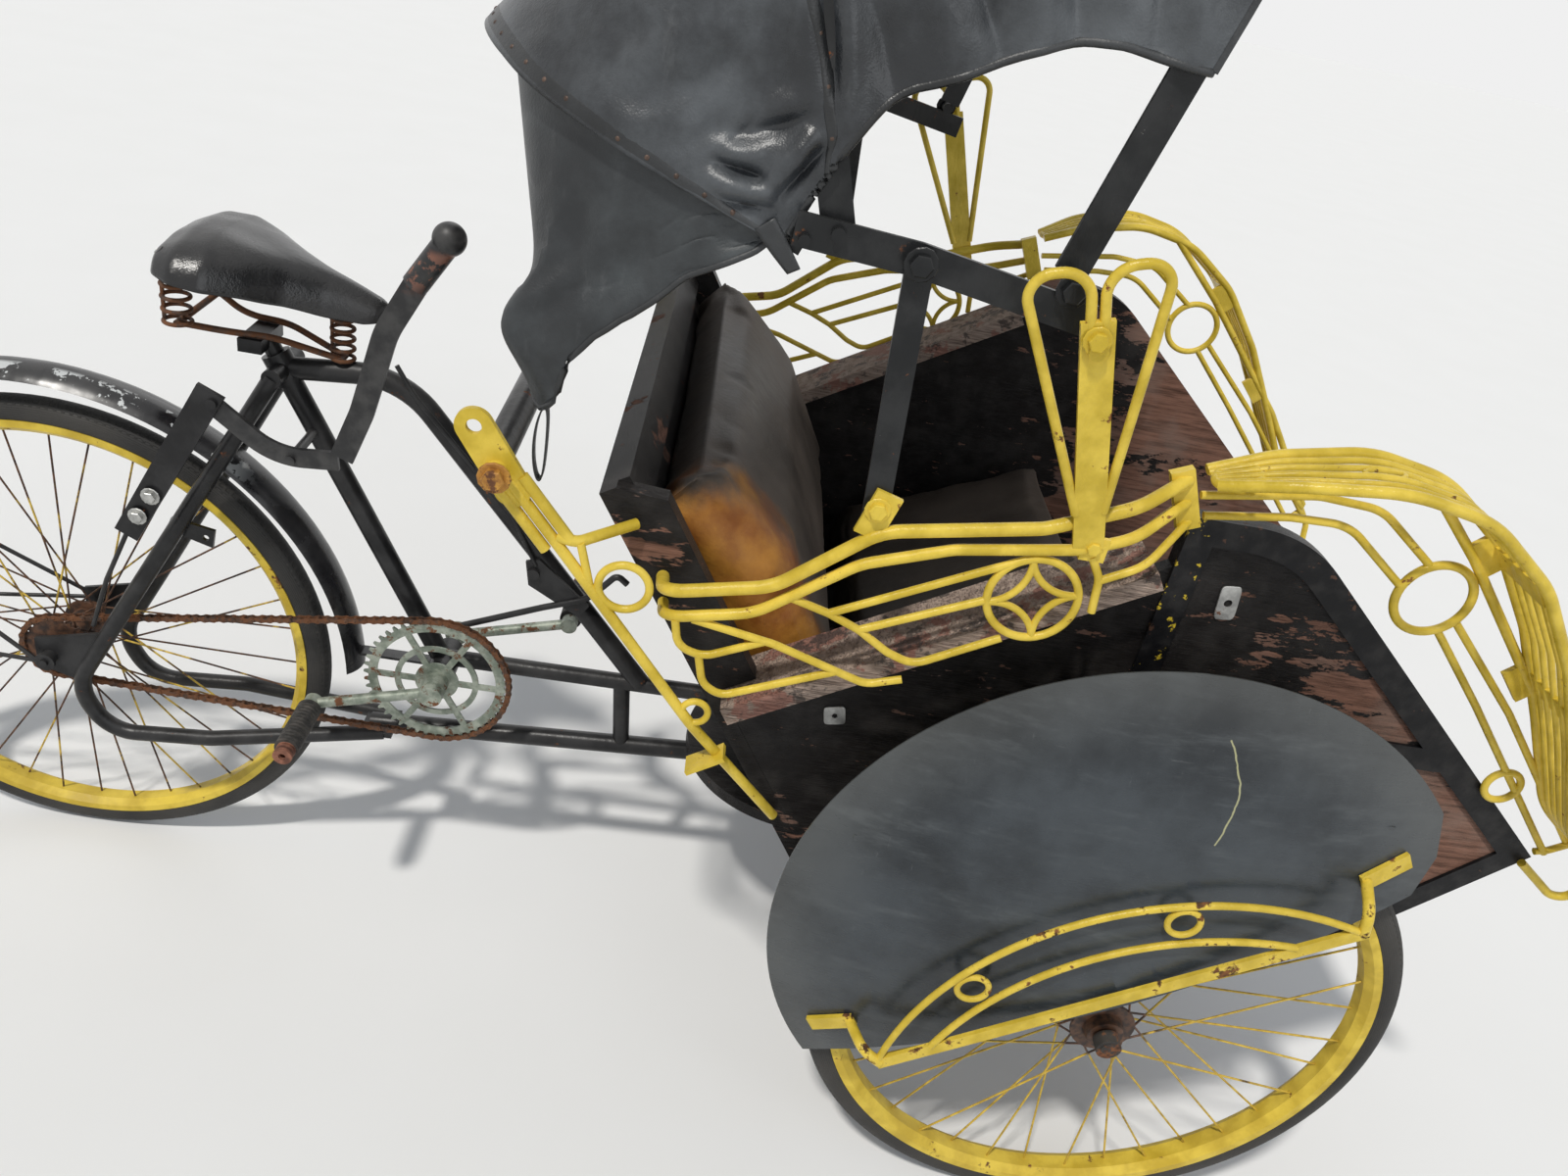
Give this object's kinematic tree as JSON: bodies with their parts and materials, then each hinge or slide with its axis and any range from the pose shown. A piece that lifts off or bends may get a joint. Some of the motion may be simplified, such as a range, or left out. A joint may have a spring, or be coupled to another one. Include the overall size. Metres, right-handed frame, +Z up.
{
  "type": "cycle rickshaw",
  "caption": "Cycle rickshaw with a passenger cab on front wheels, wrought iron side rails, a folding cloth hood and a bicycle rear half that steers on a kingpin.",
  "frame": {"origin": "on the floor, under the middle of the whole vehicle's bounding box", "axes": "+X forward towards the cab, +Y to the rider's left, +Z up; metres"},
  "size_m": [2.2861, 1.07, 1.5879],
  "materials": {
    "tyre": "worn and dusty",
    "yellow_paint": "brushed-on gloss paint with rust spots",
    "black_paint": "worn gloss paint with rust",
    "cover_paint": "dull, scratched and dusty",
    "panel_paint": "black paint flaking off brown wood",
    "rusty_steel": "rusty",
    "worn_chrome": "dull and spotted",
    "plank": "weathered and greasy",
    "bare_wood": "bare, dusty, with flakes of paint",
    "saddle_cover": "shiny with wear",
    "pedal_rubber": "worn",
    "vinyl": "faded synthetic cover",
    "hood_cloth": "coated cloth, half gloss, dusty"
  },
  "bodies": {
    "rear_half": {"rear_frame": "black_paint", "turntable_disc": "plank", "rear_mudguard": "black_paint", "mudguard_stay_right": "black_paint", "mudguard_stay_left": "black_paint", "saddle_leather": "saddle_cover", "saddle_springs": "rusty_steel", "saddle_post": "rusty_steel", "brake_lever": "black_paint", "brake_link": "rusty_steel", "lever_linkage": "rusty_steel", "chain": "rusty_steel"},
    "wheel_rear": {"tyre_rear": "tyre", "rim_rear": "yellow_paint", "hub_rear": "rusty_steel"},
    "crank": {"chainring": "worn_chrome", "crank_arms": "worn_chrome"},
    "pedal_right": {"pedal_right": "pedal_rubber"},
    "pedal_left": {"pedal_left": "pedal_rubber"},
    "cab": {"cab_side_right": "panel_paint", "cab_side_left": "panel_paint", "edge_band_right": "black_paint", "edge_band_left": "black_paint", "cab_floor": "panel_paint", "cab_back": "panel_paint", "seat_box": "panel_paint", "seat_cushion": "vinyl", "back_cushion": "vinyl", "armrest_right": "bare_wood", "armrest_left": "bare_wood", "cab_underframe": "black_paint", "wheel_cover_right": "cover_paint", "wheel_cover_left": "cover_paint", "cover_ornament_right": "yellow_paint", "cover_ornament_left": "yellow_paint", "side_rail_right": "yellow_paint", "side_rail_left": "yellow_paint", "wing_right": "yellow_paint", "wing_left": "yellow_paint", "handlebar": "black_paint", "handlebar_bracket_right": "yellow_paint", "handlebar_bracket_left": "yellow_paint", "hood_bow_front": "black_paint", "hood_bow_middle": "black_paint", "hood_bow_rear": "black_paint", "hood_link_right": "black_paint", "hood_link_left": "black_paint", "hood_canopy": "hood_cloth", "rear_curtain": "hood_cloth"},
    "wheel_front_right": {"tyre_front_right": "tyre", "rim_front_right": "yellow_paint", "hub_front_right": "rusty_steel"},
    "wheel_front_left": {"tyre_front_left": "tyre", "rim_front_left": "yellow_paint", "hub_front_left": "rusty_steel"}
  },
  "joints": [
    {"name": "steering", "type": "hinge", "parent": "rear_half", "child": "cab", "pos_m": [0.295, 0, 0.428], "axis": [0, 0, 1], "range_deg": [-30, 30]},
    {"name": "rear_wheel_spin", "type": "hinge", "parent": "rear_half", "child": "wheel_rear", "pos_m": [-0.745, 0, 0.352], "axis": [0, 1, 0], "continuous": true},
    {"name": "front_right_wheel_spin", "type": "hinge", "parent": "cab", "child": "wheel_front_right", "pos_m": [0.65, -0.44, 0.352], "axis": [0, 1, 0], "continuous": true},
    {"name": "front_left_wheel_spin", "type": "hinge", "parent": "cab", "child": "wheel_front_left", "pos_m": [0.65, 0.44, 0.352], "axis": [0, 1, 0], "continuous": true},
    {"name": "crank_spin", "type": "hinge", "parent": "rear_half", "child": "crank", "pos_m": [-0.233, 0, 0.388], "axis": [0, 1, 0], "continuous": true},
    {"name": "pedal_right_spin", "type": "hinge", "parent": "crank", "child": "pedal_right", "pos_m": [-0.39557, -0.12, 0.3383], "axis": [0, 1, 0], "continuous": true},
    {"name": "pedal_left_spin", "type": "hinge", "parent": "crank", "child": "pedal_left", "pos_m": [-0.07043, 0.12, 0.4377], "axis": [0, 1, 0], "continuous": true}
  ]
}
